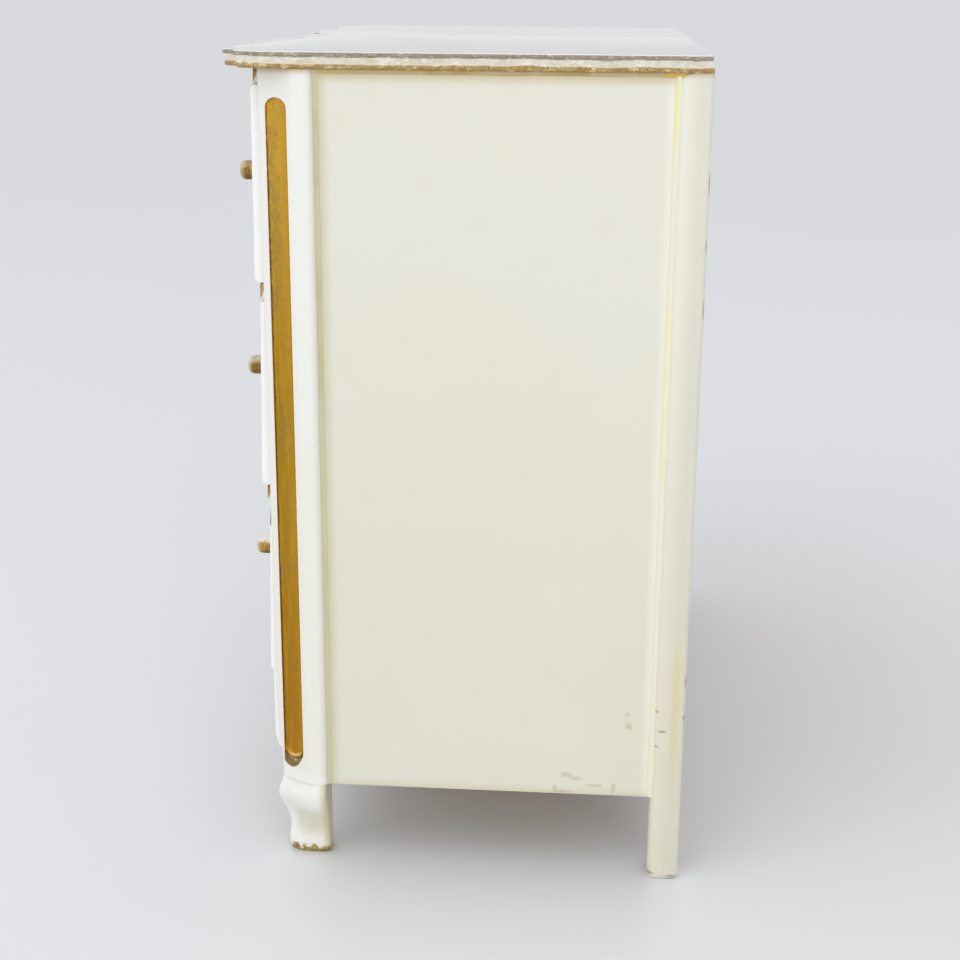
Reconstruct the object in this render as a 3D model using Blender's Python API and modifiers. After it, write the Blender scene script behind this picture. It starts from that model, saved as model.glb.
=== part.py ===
"""Miniature block-front chest of drawers, for a dolls' house.

The frame is +Z up, the front faces -Y and the chest is symmetric about X = 0.
The origin is on the floor, under the middle of the chest with its drawers shut.
Sizes below are millimetres and MM turns them into Blender's metres.
"""

import math

import bmesh
import bpy
from mathutils import Matrix, Vector

MM = 0.001

# Driving dimensions of the whole chest.
HEIGHT = 92.0
TOP_HALF_WIDTH = 48.0
BODY_HALF_WIDTH = 47.4
REAR_Y = 26.1
GAP = 0.2

# The top: a thin slab whose front edge follows the blocks a little. Each front corner is canted,
# from its side at TOP_CANT_Y to the shoulder, and then steps out to the front edge.
TOP_THICKNESS = 1.8
TOP_FRONT_Y = -24.5
TOP_CANT_Y = -19.7
TOP_SHOULDER = (46.3, -22.5)
TOP_STEP = (43.3, -22.9)
TOP_FRONT_HALF_WIDTH = 42.5
TOP_FOLLOWS_BLOCKS = 0.2
TOP_FOLLOWS_HOLLOW = 1.4
TOP_UNDERSIDE = HEIGHT - TOP_THICKNESS
CANT_SHIFT = math.sqrt(2) - 1
# Its moulded edge, from the underside up: height above the underside and setback.
TOP_EDGE = (
    (0.00, 0.45),
    (0.10, 0.20),
    (0.50, 0.15),
    (0.60, 0.35),
    (1.30, 0.30),
    (1.40, 0.02),
    (1.65, 0.00),
    (1.80, 0.15),
)
CASE_TOP = TOP_UNDERSIDE - GAP

# The case.
CASE_BOTTOM = 10.2
PANEL_THICKNESS = 1.9
PANEL_SETBACK = 0.3
POST_FRONT_Y = 22.55
POST_REAR_Y = REAR_Y
POST_WIDTH = 3.6
BACK_SETBACK = 1.0
BACK_THICKNESS = 1.6
BOARD_THICKNESS = 1.8

# The canted front pilasters and the gilt strips sunk into them. The canted face takes more off
# the pilaster's depth, CANT_DEPTH, than off its width, CANT_WIDTH.
PILASTER_REAR_Y = -14.12
PILASTER_FRONT_Y = -20.45
PILASTER_WIDTH = 4.3
CANT_WIDTH = 2.5
CANT_DEPTH = 4.1
INLAY_WIDTH = 2.9
INLAY_BOTTOM = 11.6
INLAY_TOP = 87.3
INLAY_ARCH = 1.0
RECESS_DEPTH = 0.95
CUTTER_CLEARANCE = 2.0
INLAY_THICKNESS = 0.4

# The front feet: inner face, rear face, and (height, outer X, front Y, share of the pilaster's
# cant) down the outside of the leg.
FOOT_INNER_X = 42.4
FOOT_REAR_Y = -14.6
FOOT_PROFILE = (
    (10.0, 47.35, -19.95, 1.00),
    (9.2, 47.45, -20.15, 1.00),
    (8.4, 47.45, -20.45, 1.00),
    (7.7, 47.30, -20.55, 0.98),
    (7.0, 47.00, -20.45, 0.92),
    (6.1, 46.50, -20.15, 0.84),
    (5.2, 46.05, -19.80, 0.74),
    (4.4, 45.70, -19.55, 0.64),
    (3.6, 45.45, -19.38, 0.54),
    (2.8, 45.30, -19.40, 0.46),
    (2.0, 45.20, -19.52, 0.40),
    (1.2, 45.10, -19.55, 0.35),
    (0.4, 44.85, -19.50, 0.32),
    (0.0, 44.55, -19.35, 0.30),
)
FOOT_CORNER_RADIUS = 0.45

# The front in plan: a swelling block at each end and a hollow between them.
BLOCK_CENTRE_X = 28.5
BLOCK_HALF_WIDTH = 14.4
BLOCK_SWELL = 1.5
HOLLOW_HALF_WIDTH = 9.5
HOLLOW_DEPTH = 1.2
FRONT_HALF_WIDTH = BODY_HALF_WIDTH - PILASTER_WIDTH - GAP
TURN_STEPS = 4
BLOCK_STEPS = 8

# Rails: (name, bottom, top, front Y at the ends of the rail).
RAILS = (
    ("top_rail", 88.55, CASE_TOP, -21.27),
    ("upper_divider_rail", 65.75, 67.4, -21.22),
    ("lower_divider_rail", 43.15, 44.65, -21.12),
    ("base_rail", 12.55, 22.15, -21.10),
)
RAIL_REAR_Y = PILASTER_REAR_Y - 0.1

# Drawers: (name, bottom, top, front Y at the ends of the front, lean of the front).
DRAWERS = (
    ("top", 67.6, 88.35, -21.70, 0.2),
    ("middle", 44.85, 65.55, -21.51, 0.5),
    ("bottom", 22.35, 42.95, -21.18, 0.5),
)
FRONT_BACK_Y = -18.05
TRAY_HALF_WIDTH = 42.7
TRAY_REAR_Y = 21.5
TRAY_SIDE_THICKNESS = 1.4
TRAY_BOTTOM_THICKNESS = 1.2
TRAY_HEADROOM = 3.0

# Knobs: a short neck and a domed head.
KNOB_X = BLOCK_CENTRE_X
KNOB_RADIUS = 1.1
KNOB_NECK_RADIUS = 0.65
KNOB_LENGTH = 2.8
KNOB_HEAD_LENGTH = 2.1
KNOB_BACK_BEVEL = 0.1
KNOB_DOME = 0.6
KNOB_DOME_STEPS = 4
KNOB_STEPS = 24

# Edges rounded over, and the angles beyond which an edge is rounded or drawn sharp.
BOARD_EDGE = 0.15
FRAME_EDGE = 0.3
POST_EDGE = 0.35
DRAWER_EDGE = 0.45
BEVEL_ANGLE = math.radians(35)
SHARP_ANGLE = math.radians(40)


def clear_scene():
    for thing in list(bpy.data.objects):
        bpy.data.objects.remove(thing, do_unlink=True)


def new_collection(name):
    collection = bpy.data.collections.new(name)
    bpy.context.scene.collection.children.link(collection)
    return collection


def paint(name, colour, roughness, metallic=0.0):
    """One Principled BSDF material."""
    material = bpy.data.materials.new(name)
    material.use_nodes = True
    shader = material.node_tree.nodes["Principled BSDF"]
    shader.inputs["Base Color"].default_value = (*colour, 1.0)
    shader.inputs["Roughness"].default_value = roughness
    shader.inputs["Metallic"].default_value = metallic
    material.diffuse_color = (*colour, 1.0)
    return material


def add_object(name, mesh_builder, material, bevel=0.0, segments=2):
    """Turn a filled bmesh, drawn in millimetres, into an object of the chest."""
    bmesh.ops.scale(mesh_builder, vec=(MM, MM, MM), verts=mesh_builder.verts)
    bmesh.ops.recalc_face_normals(mesh_builder, faces=mesh_builder.faces)
    mesh = bpy.data.meshes.new(name)
    mesh_builder.to_mesh(mesh)
    mesh_builder.free()
    mesh.materials.append(material)
    obj = bpy.data.objects.new(name, mesh)
    CHEST.objects.link(obj)
    if bevel:
        modifier = obj.modifiers.new("Rounded edges", "BEVEL")
        modifier.width = bevel * MM
        modifier.segments = segments
        modifier.limit_method = "ANGLE"
        modifier.angle_limit = BEVEL_ANGLE
        modifier.use_clamp_overlap = True
    return obj


def box(name, low, high, material, bevel=0.0):
    """A board between two opposite corners."""
    size = [b - a for a, b in zip(low, high)]
    centre = [(a + b) / 2 for a, b in zip(low, high)]
    builder = bmesh.new()
    place = Matrix.Translation(centre) @ Matrix.Diagonal((*size, 1.0))
    bmesh.ops.create_cube(builder, size=1.0, matrix=place)
    return add_object(name, builder, material, bevel)


def extruded(outline, bottom, top):
    """A bmesh prism that stands on a closed outline."""
    builder = bmesh.new()
    rim = [builder.verts.new((x, y, bottom)) for x, y in outline]
    floor = builder.faces.new(rim)
    raised = bmesh.ops.extrude_face_region(builder, geom=[floor])["geom"]
    moved = [item for item in raised if isinstance(item, bmesh.types.BMVert)]
    bmesh.ops.translate(builder, vec=(0, 0, top - bottom), verts=moved)
    return builder


def smooth(t):
    t = min(max(t, 0.0), 1.0)
    return t * t * (3 - 2 * t)


def block_relief(x):
    """How far the front stands forward of its own ends at this X; negative in the hollow."""
    from_centre = abs(x)
    inner_edge = BLOCK_CENTRE_X - BLOCK_HALF_WIDTH
    if from_centre > inner_edge:
        offset = (from_centre - BLOCK_CENTRE_X) / BLOCK_HALF_WIDTH
        return BLOCK_SWELL * (1 - offset * offset)
    side = smooth((from_centre - HOLLOW_HALF_WIDTH) / (inner_edge - HOLLOW_HALF_WIDTH))
    return -HOLLOW_DEPTH * (1 - side)


def front_stations(half_width=FRONT_HALF_WIDTH):
    """X places across the front: close together where it curves."""
    inner_edge = BLOCK_CENTRE_X - BLOCK_HALF_WIDTH
    turn = (inner_edge - HOLLOW_HALF_WIDTH) / TURN_STEPS
    across_block = (half_width - inner_edge) / BLOCK_STEPS
    right = [HOLLOW_HALF_WIDTH + turn * i for i in range(TURN_STEPS)]
    right += [inner_edge + across_block * i for i in range(BLOCK_STEPS + 1)]
    return [-x for x in reversed(right)] + right


def front_outline(end_y, rear_y):
    """Plan of a rail or a drawer front, with a flat rear."""
    front = [(x, end_y - block_relief(x)) for x in front_stations()]
    return front + [(FRONT_HALF_WIDTH, rear_y), (-FRONT_HALF_WIDTH, rear_y)]


def top_front_y(x):
    relief = block_relief(x)
    return TOP_FRONT_Y - relief * (TOP_FOLLOWS_BLOCKS if relief > 0 else TOP_FOLLOWS_HOLLOW)


def top_outline(setback):
    """Plan of the top, drawn in by a setback on every side but the rear."""
    side_x = TOP_HALF_WIDTH - setback
    # A canted corner drawn in squarely moves its ends by less than the setback.
    cant_y = TOP_CANT_Y + setback * CANT_SHIFT
    corner = [(side_x, cant_y)]
    corner += [(x - setback * CANT_SHIFT, y + setback) for x, y in (TOP_SHOULDER, TOP_STEP)]
    front = [(x, top_front_y(x) + setback) for x in front_stations(TOP_FRONT_HALF_WIDTH)]
    left = [(-side_x, REAR_Y)] + [(-x, y) for x, y in corner]
    right = list(reversed(corner)) + [(side_x, REAR_Y)]
    return left + front + right


def lofted(rings):
    """A closed bmesh skin through rings of points, with a flat cap at each end."""
    builder = bmesh.new()
    loops = [[builder.verts.new(point) for point in ring] for ring in rings]
    for upper, lower in zip(loops, loops[1:]):
        for i, vertex in enumerate(upper):
            builder.faces.new((vertex, upper[i - 1], lower[i - 1], lower[i]))
    builder.faces.new(loops[0])
    builder.faces.new(loops[-1])
    return builder


def make_top():
    rings = []
    for height, setback in TOP_EDGE:
        rings.append([(x, y, TOP_UNDERSIDE + height) for x, y in top_outline(setback)])
    add_object("top_slab", lofted(rings), LACQUER)


def make_case_boards():
    outer_x = BODY_HALF_WIDTH - PANEL_SETBACK
    inner_x = outer_x - PANEL_THICKNESS
    front_y = PILASTER_REAR_Y + GAP
    rear_y = POST_FRONT_Y - GAP
    for side, word in ((-1, "left"), (1, "right")):
        xs = sorted((side * inner_x, side * outer_x))
        low = (xs[0], front_y, CASE_BOTTOM)
        box(f"side_panel_{word}", low, (xs[1], rear_y, CASE_TOP), IVORY, BOARD_EDGE)
    back_half = BODY_HALF_WIDTH - POST_WIDTH - GAP
    back_front_y = POST_FRONT_Y + BACK_SETBACK
    box(
        "back_panel",
        (-back_half, back_front_y, CASE_BOTTOM),
        (back_half, back_front_y + BACK_THICKNESS, CASE_TOP),
        BARE_WOOD,
    )
    half = inner_x - GAP
    for name, rail in (("upper_dust_board", 1), ("lower_dust_board", 2), ("bottom_board", 3)):
        top = RAILS[rail][2]
        low = (-half, front_y, top - BOARD_THICKNESS)
        box(name, low, (half, rear_y, top), BARE_WOOD)


def make_posts():
    for side, word in ((-1, "left"), (1, "right")):
        xs = sorted((side * (BODY_HALF_WIDTH - POST_WIDTH), side * BODY_HALF_WIDTH))
        low = (xs[0], POST_FRONT_Y, 0.0)
        box(f"rear_post_{word}", low, (xs[1], POST_REAR_Y, CASE_TOP), WHITE, POST_EDGE)


def pilaster_outline(side):
    outer = BODY_HALF_WIDTH
    inner = outer - PILASTER_WIDTH
    points = [
        (inner, PILASTER_REAR_Y),
        (inner, PILASTER_FRONT_Y),
        (outer - CANT_WIDTH, PILASTER_FRONT_Y),
        (outer, PILASTER_FRONT_Y + CANT_DEPTH),
        (outer, PILASTER_REAR_Y),
    ]
    return [(side * x, y) for x, y in points]


def canted_frame(side, sunk):
    """Local X along the canted face, local Y up and local Z out of it, sunk below it by this much."""
    outward = Vector((side * CANT_DEPTH, -CANT_WIDTH, 0.0)).normalized()
    along = Vector((CANT_WIDTH, side * CANT_DEPTH, 0.0)).normalized()
    face_x = side * (BODY_HALF_WIDTH - CANT_WIDTH / 2)
    face_y = PILASTER_FRONT_Y + CANT_DEPTH / 2
    place = Vector((face_x, face_y, 0.0)) - outward * sunk
    frame = Matrix.Identity(4)
    for column, vector in enumerate((along, Vector((0, 0, 1)), outward, place)):
        for row in range(3):
            frame[row][column] = vector[row]
    return frame


def arch_ended(width, bottom, top, arc_steps=8):
    """An upright strip with a low arch at each end."""
    points = []
    for centre, start in ((top - INLAY_ARCH, 0.0), (bottom + INLAY_ARCH, math.pi)):
        for i in range(arc_steps + 1):
            angle = start + math.pi * i / arc_steps
            points.append((width / 2 * math.cos(angle), centre + INLAY_ARCH * math.sin(angle)))
    return points


def make_pilasters():
    for side, word in ((-1, "left"), (1, "right")):
        builder = extruded(pilaster_outline(side), CASE_BOTTOM, CASE_TOP)
        post = add_object(f"front_pilaster_{word}", builder, WHITE, FRAME_EDGE)
        outline = arch_ended(INLAY_WIDTH, INLAY_BOTTOM, INLAY_TOP)
        slot = extruded(outline, 0.0, RECESS_DEPTH + CUTTER_CLEARANCE)
        bmesh.ops.transform(slot, matrix=canted_frame(side, RECESS_DEPTH), verts=slot.verts)
        cutter = add_object(f"inlay_slot_{word}", slot, GILT)
        CHEST.objects.unlink(cutter)
        CUTTERS.objects.link(cutter)
        cutter.hide_render = True
        cutter.display_type = "WIRE"
        cut = post.modifiers.new("Inlay recess", "BOOLEAN")
        cut.operation = "DIFFERENCE"
        cut.object = cutter
        outline = arch_ended(INLAY_WIDTH - 2 * GAP, INLAY_BOTTOM + GAP, INLAY_TOP - GAP)
        strip = extruded(outline, 0.0, INLAY_THICKNESS)
        bmesh.ops.transform(strip, matrix=canted_frame(side, RECESS_DEPTH - GAP), verts=strip.verts)
        add_object(f"pilaster_inlay_{word}", strip, GILT)


def rounded_corner(previous, corner, following, radius, steps=3):
    """Points of an arc that replaces one corner of an outline."""
    corner = Vector(corner)
    to_previous = (Vector(previous) - corner).normalized()
    to_following = (Vector(following) - corner).normalized()
    half_angle = to_previous.angle(to_following) / 2
    reach = radius / math.tan(half_angle)
    centre = corner + (to_previous + to_following).normalized() * (radius / math.sin(half_angle))
    start = corner + to_previous * reach - centre
    end = corner + to_following * reach - centre
    sweep = start.angle_signed(end)
    arc = []
    for i in range(steps + 1):
        angle = -sweep * i / steps
        turned = Matrix.Rotation(angle, 2) @ start
        arc.append(tuple(centre + turned))
    return arc


def foot_section(outer_x, front_y, cant):
    """Plan of the leg at one height: square at the rear, canted and rounded at the front."""
    corners = [
        (FOOT_INNER_X, FOOT_REAR_Y),
        (FOOT_INNER_X, front_y),
        (outer_x - cant * CANT_WIDTH, front_y),
        (outer_x, front_y + cant * CANT_DEPTH),
        (outer_x, FOOT_REAR_Y),
    ]
    points = []
    for i, corner in enumerate(corners):
        following = corners[(i + 1) % len(corners)]
        points += rounded_corner(corners[i - 1], corner, following, FOOT_CORNER_RADIUS)
    return points


def make_front_feet():
    for side, word in ((-1, "left"), (1, "right")):
        rings = []
        for z, outer_x, front_y, cant in FOOT_PROFILE:
            rings.append([(side * x, y, z) for x, y in foot_section(outer_x, front_y, cant)])
        foot = add_object(f"front_foot_{word}", lofted(rings), WHITE)
        foot.data.shade_smooth()
        foot.data.set_sharp_from_angle(angle=SHARP_ANGLE)


def make_rails():
    for name, bottom, top, end_y in RAILS:
        builder = extruded(front_outline(end_y, RAIL_REAR_Y), bottom, top)
        add_object(name, builder, WHITE, FRAME_EDGE)


def make_drawer_front(name, bottom, top, end_y, lean):
    """The front's lower edge stands a little further out than its upper edge."""
    builder = extruded(front_outline(end_y, FRONT_BACK_Y), bottom, top)
    middle = (bottom + top) / 2
    for vertex in builder.verts:
        if vertex.co.y < FRONT_BACK_Y - GAP:
            vertex.co.y += lean * (vertex.co.z - middle) / (top - bottom)
    add_object(f"drawer_{name}_front", builder, WHITE, DRAWER_EDGE, 3)


def make_tray(name, bottom, top):
    """The four boards behind a drawer front: two sides, a back and a bottom between them."""
    front_y = FRONT_BACK_Y + GAP
    wall_top = top - TRAY_HEADROOM
    inner = TRAY_HALF_WIDTH - TRAY_SIDE_THICKNESS
    back_y = TRAY_REAR_Y - TRAY_SIDE_THICKNESS
    for side, word in ((-1, "left"), (1, "right")):
        xs = sorted((side * inner, side * TRAY_HALF_WIDTH))
        low = (xs[0], front_y, bottom)
        box(f"drawer_{name}_side_{word}", low, (xs[1], TRAY_REAR_Y, wall_top), BARE_WOOD)
    between = inner - GAP
    low = (-between, back_y, bottom)
    box(f"drawer_{name}_back", low, (between, TRAY_REAR_Y, wall_top), BARE_WOOD)
    high = (between, back_y - GAP, bottom + TRAY_BOTTOM_THICKNESS)
    box(f"drawer_{name}_bottom", (-between, front_y, bottom), high, BARE_WOOD)


def knob_profile():
    """Radius and distance from the drawer front, from the neck's foot to the tip."""
    neck_end = KNOB_LENGTH - KNOB_HEAD_LENGTH
    points = [(0.0, 0.0), (KNOB_NECK_RADIUS, 0.0), (KNOB_NECK_RADIUS, neck_end)]
    points.append((KNOB_RADIUS, neck_end + KNOB_BACK_BEVEL))
    shoulder = KNOB_LENGTH - KNOB_DOME
    for i in range(KNOB_DOME_STEPS):
        angle = math.pi / 2 * i / KNOB_DOME_STEPS
        points.append((KNOB_RADIUS * math.cos(angle), shoulder + KNOB_DOME * math.sin(angle)))
    points.append((0.0, KNOB_LENGTH))
    return points


def make_knob(name, x, foot_y, z):
    builder = bmesh.new()
    spine = [builder.verts.new((x + radius, foot_y - out, z)) for radius, out in knob_profile()]
    edges = [builder.edges.new(pair) for pair in zip(spine, spine[1:])]
    axis_point = (x, foot_y, z)
    bmesh.ops.spin(
        builder,
        geom=spine + edges,
        cent=axis_point,
        axis=(0, 1, 0),
        angle=math.tau,
        steps=KNOB_STEPS,
        use_merge=True,
    )
    bmesh.ops.remove_doubles(builder, verts=builder.verts, dist=0.01)
    knob = add_object(name, builder, GILT)
    knob.data.shade_smooth()
    knob.data.set_sharp_from_angle(angle=SHARP_ANGLE)


def make_drawers():
    for name, bottom, top, end_y, lean in DRAWERS:
        make_drawer_front(name, bottom, top, end_y, lean)
        make_tray(name, bottom, top)
        for side, word in ((-1, "left"), (1, "right")):
            foot_y = end_y - block_relief(KNOB_X) - GAP / 2
            make_knob(f"knob_{name}_{word}", side * KNOB_X, foot_y, (bottom + top) / 2)


clear_scene()
CHEST = new_collection("Miniature chest of drawers")
CUTTERS = new_collection("Cutters")
LACQUER = paint("Top lacquer", (0.80, 0.81, 0.80), 0.12)
IVORY = paint("Ivory paint", (0.76, 0.76, 0.66), 0.35)
WHITE = paint("White paint", (0.83, 0.83, 0.79), 0.25)
GILT = paint("Worn gilt", (0.56, 0.34, 0.07), 0.4, 0.6)
BARE_WOOD = paint("Bare wood", (0.62, 0.47, 0.30), 0.65)
make_top()
make_case_boards()
make_posts()
make_pilasters()
make_front_feet()
make_rails()
make_drawers()
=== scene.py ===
"""Looks for the miniature block-front chest of drawers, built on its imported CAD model.

Lengths in this file are millimetres unless a name says otherwise; MM turns them into metres.
The chest's own frame is used throughout: +Z up, the front faces -Y.
"""

import math

import bmesh
import bpy
from mathutils import Matrix, Vector, noise


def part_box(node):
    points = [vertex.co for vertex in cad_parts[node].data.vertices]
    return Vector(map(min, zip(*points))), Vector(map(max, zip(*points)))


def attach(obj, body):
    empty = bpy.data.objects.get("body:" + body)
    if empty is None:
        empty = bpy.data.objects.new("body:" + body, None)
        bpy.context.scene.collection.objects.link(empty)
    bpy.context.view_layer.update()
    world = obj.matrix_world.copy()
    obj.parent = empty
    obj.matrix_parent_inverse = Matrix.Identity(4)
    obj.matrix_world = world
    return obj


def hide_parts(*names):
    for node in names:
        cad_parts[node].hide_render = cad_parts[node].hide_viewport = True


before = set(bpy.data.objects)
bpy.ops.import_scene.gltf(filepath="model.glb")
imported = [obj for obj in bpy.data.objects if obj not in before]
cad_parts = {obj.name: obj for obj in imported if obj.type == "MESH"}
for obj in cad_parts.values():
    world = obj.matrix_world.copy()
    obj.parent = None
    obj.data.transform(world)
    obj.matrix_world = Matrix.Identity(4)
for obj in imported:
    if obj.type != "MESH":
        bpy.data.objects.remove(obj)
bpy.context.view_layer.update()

MM = 0.001
SIDES = ((-1, "left"), (1, "right"))

# Camera: place, turns in radians and lens.
CAMERA_PLACE = (214.8, 15.12, 99.02)
CAMERA_PAN = 0.0722
CAMERA_TILT = 0.2980
CAMERA_ROLL = 0.0073
CAMERA_LENS = 61.17
SENSOR_WIDTH = 36.0

# The plan of the front, as in the CAD.
BLOCK_CENTRE_X = 28.5
BLOCK_HALF_WIDTH = 14.4
BLOCK_SWELL = 1.5
HOLLOW_HALF_WIDTH = 9.5
HOLLOW_DEPTH = 1.2
# How far each drawer's face leans back to its top, and how much white shows on its knobs.
DRAWER_LEAN = {"top": 0.2, "middle": 0.5, "bottom": 0.5}
KNOB_WEAR = {"top": 0.15, "middle": 0.45, "bottom": 0.95}
# Radii of the top, bottom and end edges of the fronts.
RAIL_RADII = (0.2, 0.2, 0.2)
BASE_RADII = (0.35, 1.2, 0.3)
DRAWER_RADII = (0.45, 0.65, 0.35)

# The top.
# Its front corner as distances in from the side and from the front edge: cant, shoulder and step.
TOP_CORNER = ((0.0, 4.8), (1.7, 2.0), (4.7, 1.6))
TOP_FRONT_HALF_WIDTH = 42.5
TOP_FOLLOWS_BLOCKS = 0.2
TOP_FOLLOWS_HOLLOW = 1.4
TOP_POINT_SPACING = 0.3
TOP_REAR_LEAN = 0.25

# Pilasters, inlays and feet.
CANT_WIDTH = 2.5
CANT_DEPTH = 4.1
INLAY_WIDTH = 2.9
RECESS_DEPTH = 0.85
STRIP_DEPTH = 0.35
# The strip's toe: its height on the slot's middle line, its bow and its slant.
TOE_HEIGHT = 12.7
TOE_BOW = 0.35
TOE_SLANT = 0.2

# Radius of the rear posts' upper front corner.
POST_SHOULDER = 0.9

# How far the painted uprights reach above their CAD solids, to meet the top.
UNDER_TOP = 0.24

# A mark's reach along an axis on which it has no end, and the share of a reach that is fully marked.
EVERYWHERE = 400.0
MARK_CORE = 0.55

GILT_METALLIC = 0.6

# Points across the gilt slot's arch.
SLOT_STEPS = 18


def linear(*display):
    """Linear colour from 0-255 display values."""
    shares = [value / 255 for value in display]
    return (*[s / 12.92 if s <= 0.04045 else ((s + 0.055) / 1.055) ** 2.4 for s in shares], 1.0)


def box_mm(node):
    low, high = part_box(node)
    return Vector(low) / MM, Vector(high) / MM


def near_and_far(low, high):
    """Distances of a piece's two sides from the middle of the chest, the near one first."""
    return sorted((abs(low.x), abs(high.x)))


def wobble(point, scale, seed):
    """Smooth repeatable noise from -1 to 1."""
    x, y, z = point
    return noise.noise(Vector((x * scale + seed, y * scale - seed, z * scale + 0.37 * seed)))


def smooth(t):
    t = min(max(t, 0.0), 1.0)
    return t * t * (3 - 2 * t)


# --- Materials ---


class Finish:
    """A Principled material under construction; its helpers add nodes and return their output."""

    def __init__(self, name, roughness=0.4, metallic=0.0):
        self.material = bpy.data.materials.new(name)
        self.material.use_nodes = True
        self.tree = self.material.node_tree
        self.shader = self.tree.nodes["Principled BSDF"]
        self.shader.inputs["Roughness"].default_value = roughness
        self.shader.inputs["Metallic"].default_value = metallic
        coordinates = self.tree.nodes.new("ShaderNodeTexCoord").outputs["Object"]
        self.place = self.vector("SCALE", coordinates, scale=1 / MM)
        parts = self.tree.nodes.new("ShaderNodeSeparateXYZ")
        self.join(self.place, parts.inputs[0])
        self.x, self.y, self.z = parts.outputs

    def join(self, value, socket):
        if isinstance(value, bpy.types.NodeSocket):
            self.tree.links.new(value, socket)
        else:
            socket.default_value = value

    def vector(self, operation, a, b=None, scale=None):
        node = self.tree.nodes.new("ShaderNodeVectorMath")
        node.operation = operation
        self.join(a, node.inputs[0])
        if b is not None:
            self.join(b, node.inputs[1])
        if scale is not None:
            self.join(scale, node.inputs["Scale"])
        return node.outputs["Value" if operation in ("LENGTH", "DOT_PRODUCT") else "Vector"]

    def math(self, operation, a, b=0.0):
        node = self.tree.nodes.new("ShaderNodeMath")
        node.operation = operation
        self.join(a, node.inputs[0])
        self.join(b, node.inputs[1])
        return node.outputs[0]

    def running(self, operation, values):
        total = values[0]
        for value in values[1:]:
            total = self.math(operation, total, value)
        return total

    def add(self, *values):
        return self.running("ADD", values)

    def times(self, *values):
        return self.running("MULTIPLY", values)

    def sway(self, noise, size):
        """A noise made to go as far below zero as above it."""
        return self.times(self.math("SUBTRACT", noise, 0.5), size)

    def most(self, *values):
        return self.running("MAXIMUM", values)

    def ramp(self, value, low, high, bottom=0.0, top=1.0):
        """Goes smoothly from bottom to top as the value goes from low to high."""
        node = self.tree.nodes.new("ShaderNodeMapRange")
        node.interpolation_type = "SMOOTHSTEP"
        for socket, entry in zip(node.inputs, (value, low, high, bottom, top)):
            self.join(entry, socket)
        return node.outputs[0]

    def noise(self, scale, stretch=(1, 1, 1), detail=3.0, roughness=0.55, shift=0.0, distortion=0.0):
        """Noise from 0 to 1. Scale is in features per millimetre, along each axis times its stretch."""
        node = self.tree.nodes.new("ShaderNodeTexNoise")
        place = self.vector("MULTIPLY_ADD", self.place, [scale * s for s in stretch])
        self.join((shift, shift, shift), place.node.inputs[2])
        self.join(place, node.inputs["Vector"])
        self.join(1.0, node.inputs["Scale"])
        self.join(detail, node.inputs["Detail"])
        self.join(roughness, node.inputs["Roughness"])
        self.join(distortion, node.inputs["Distortion"])
        return node.outputs["Fac"]

    def mix(self, factor, a, b):
        """Goes from a to b, each an output or a colour in 0-255 display values."""
        node = self.tree.nodes.new("ShaderNodeMix")
        node.data_type = "RGBA"
        self.join(factor, node.inputs["Factor"])
        for entry, socket in ((a, node.inputs[6]), (b, node.inputs[7])):
            self.join(linear(*entry) if isinstance(entry, tuple) else entry, socket)
        return node.outputs[2]

    def coat(self, colour, *shares):
        """Lays a colour over the paint so far, as thick as the product of the shares."""
        self.paint = self.mix(self.times(*shares), self.paint, colour)

    def mark(self, centre, reach, ragged, grain):
        """1 at the centre and 0 beyond the reach along each axis, with an edge frayed by the grain."""
        offset = self.vector("SUBTRACT", self.place, centre)
        share = self.vector("LENGTH", self.vector("MULTIPLY", offset, [1 / r for r in reach]))
        share = self.add(share, self.sway(grain, ragged))
        return self.ramp(share, 1.0, MARK_CORE)

    def stroke(self, start, end, width):
        """1 on a line between two (y, z) points and 0 beyond its width, on the right-hand side only."""
        a, b = Vector((0.0, *start)), Vector((0.0, *end))
        along = (b - a).normalized()
        across = Vector((0.0, -along.z, along.y))
        offset = self.vector("SUBTRACT", self.place, a)
        parts = [self.vector("DOT_PRODUCT", offset, direction) for direction in (along, across)]
        line = self.ramp(self.math("ABSOLUTE", parts[1]), width, width * 0.4)
        line = self.times(line, self.ramp(parts[0], -0.1, 0.1))
        line = self.times(line, self.ramp(parts[0], (b - a).length, (b - a).length - 0.4))
        return self.times(line, self.ramp(self.x, *STROKE_FADE))

    def rough(self, value):
        self.join(value, self.shader.inputs["Roughness"])

    def let_light_in(self):
        """Thick paint is a little translucent."""
        self.shader.inputs["Subsurface Weight"].default_value = 0.12
        self.shader.inputs["Subsurface Radius"].default_value = (1.0, 0.85, 0.6)
        self.shader.inputs["Subsurface Scale"].default_value = 0.8 * MM

    def bump(self, height, strength, distance):
        """Height from 0 to 1 stands for distance millimetres."""
        node = self.tree.nodes.new("ShaderNodeBump")
        self.join(strength, node.inputs["Strength"])
        self.join(distance * MM, node.inputs["Distance"])
        self.join(height, node.inputs["Height"])
        self.join(node.outputs["Normal"], self.shader.inputs["Normal"])

    def finished(self):
        """The material, with all its coats of paint."""
        self.join(self.paint, self.shader.inputs["Base Color"])
        return self.material


def specks(f, grain, places, ragged):
    """One mask for a list of (centre, reach)."""
    return f.most(*[f.mark(centre, reach, ragged, grain) for centre, reach in places])


PAINT_LIGHT = (238, 238, 232)
PAINT_DARK = (234, 233, 222)
FOOT_LIGHT = (243, 242, 237)
FOOT_DARK = (238, 236, 226)
DRAWER_LIGHT = (250, 249, 246)
DRAWER_DARK = (254, 253, 249)
AGED_LIGHT = (235, 233, 221)
AGED_DARK = (226, 221, 202)


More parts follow.
